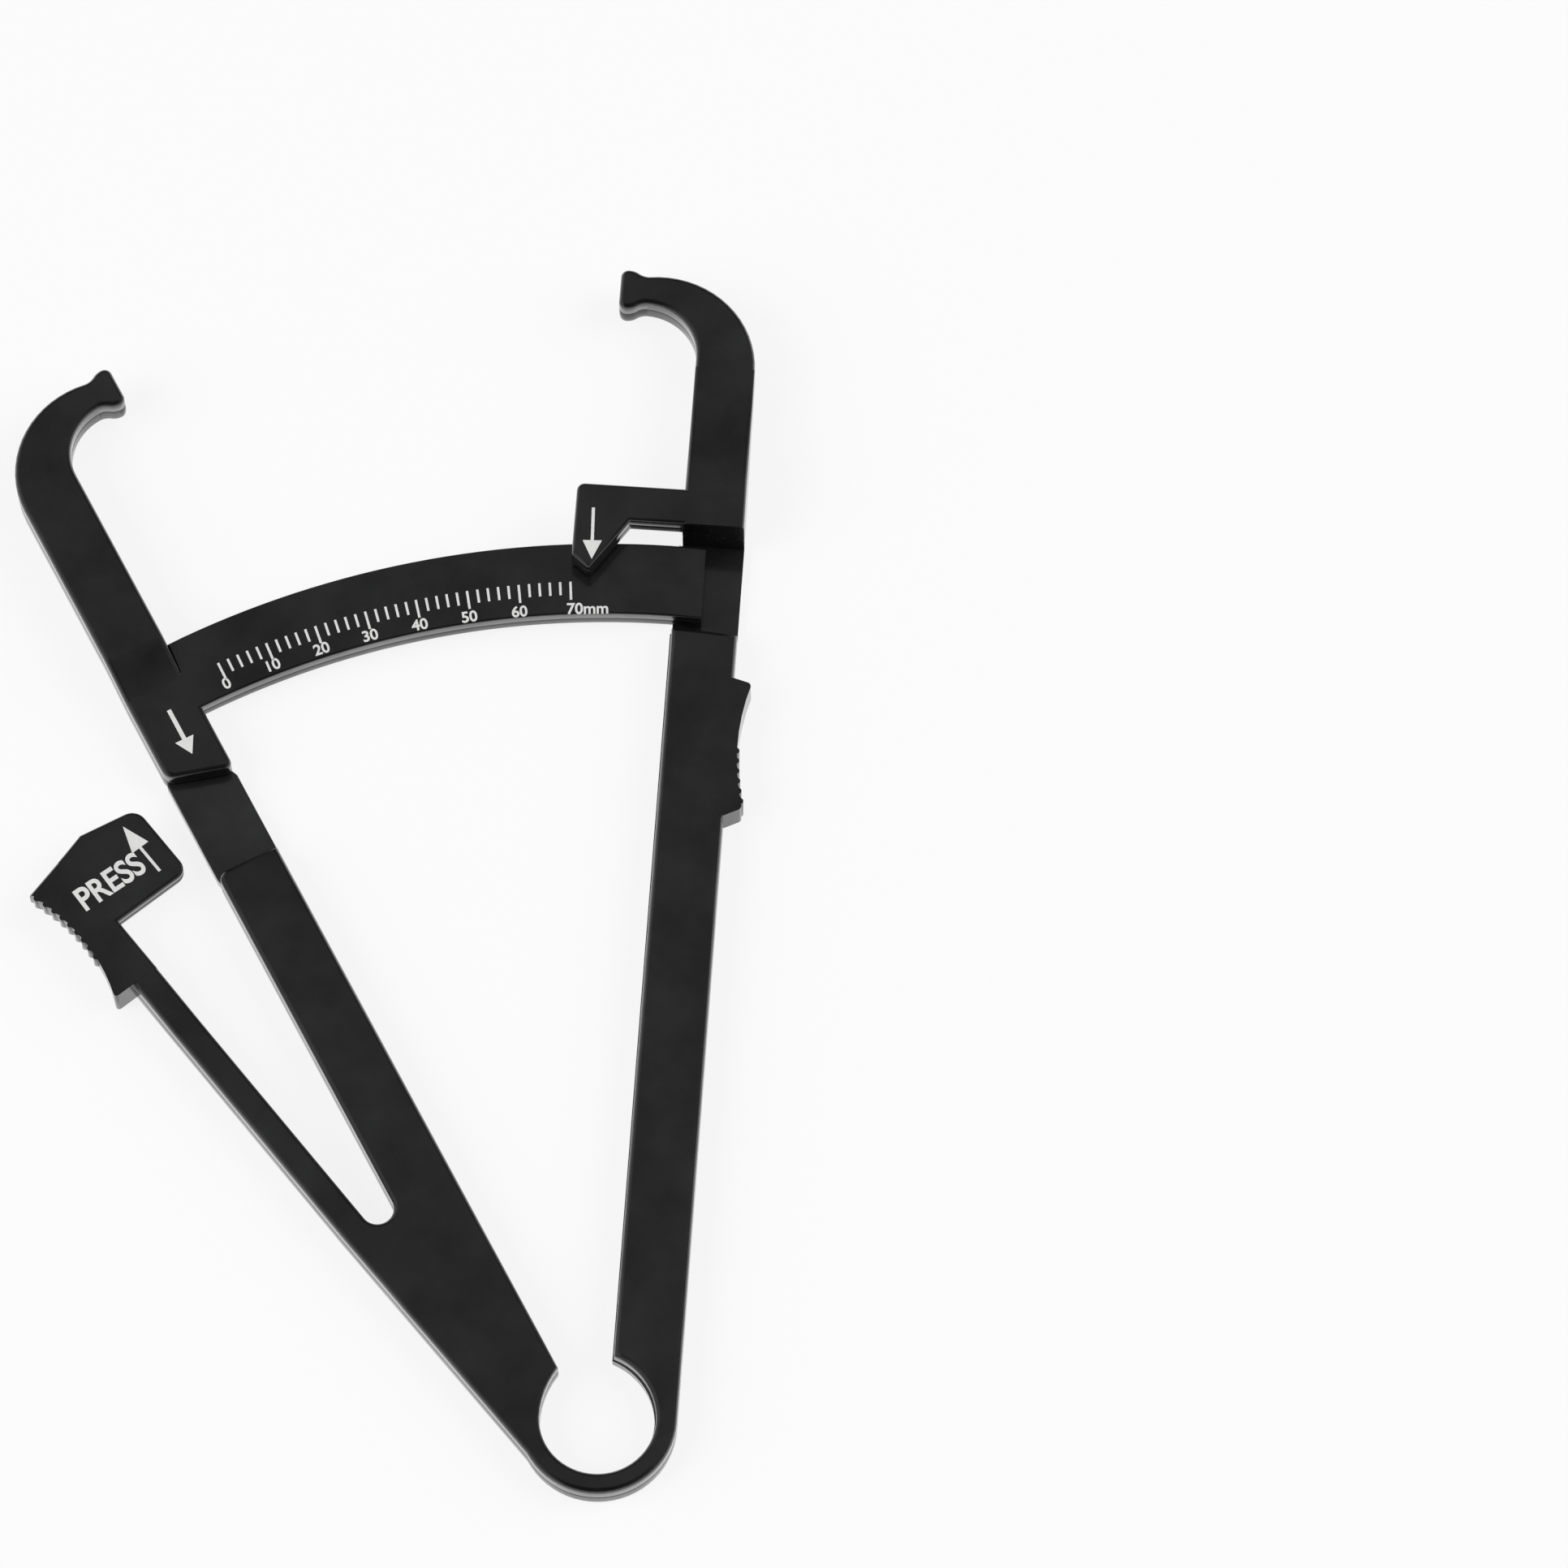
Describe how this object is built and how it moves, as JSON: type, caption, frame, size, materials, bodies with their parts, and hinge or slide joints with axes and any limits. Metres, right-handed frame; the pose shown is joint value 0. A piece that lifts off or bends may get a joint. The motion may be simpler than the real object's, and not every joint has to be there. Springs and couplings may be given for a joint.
{
  "type": "skinfold caliper",
  "caption": "Flat plastic skinfold caliper: two jawed arms joined by a spring ring, a curved millimetre scale with a pointer, and a thumb lever that marks the pressing force.",
  "frame": {"origin": "centre of the spring ring's hole, on the plane that the caliper rests on", "axes": "+Y from the ring towards the jaws, +Z out of the printed face"},
  "size_m": [0.1042, 0.181, 0.0093],
  "materials": {
    "black_plastic": "satin moulded ABS",
    "white_ink": "pad-printed ink"
  },
  "bodies": {
    "left_arm": {"spring_ring": "black_plastic", "left_arm_lower": "black_plastic", "left_arm_recess": "black_plastic", "left_arm_upper": "black_plastic", "left_jaw_hook": "black_plastic", "left_jaw_tip": "black_plastic", "scale_arc": "black_plastic", "scale_graduations": "white_ink", "left_arm_arrow": "white_ink"},
    "right_arm": {"right_arm_lower": "black_plastic", "finger_grip": "black_plastic", "right_arm_channel": "black_plastic", "right_arm_upper": "black_plastic", "pointer_flag": "black_plastic", "pointer_arrow": "white_ink", "right_jaw_hook": "black_plastic", "right_jaw_tip": "black_plastic"},
    "thumb_lever": {"lever_beam": "black_plastic", "press_paddle": "black_plastic", "thumb_grip": "black_plastic", "paddle_arrow": "white_ink"}
  },
  "joints": [
    {"name": "ring_spring", "type": "hinge", "parent": "left_arm", "child": "right_arm", "pos_m": [0, 0, 0.0024], "axis": [0, 0, 1], "range_deg": [0, 24.7], "stiffness_Nm_per_rad": 0.6},
    {"name": "press_lever", "type": "hinge", "parent": "left_arm", "child": "thumb_lever", "pos_m": [-0.0354, 0.02934, 0.0024], "axis": [0, 0, -1], "range_deg": [0, 11.5], "stiffness_Nm_per_rad": 0.15}
  ]
}
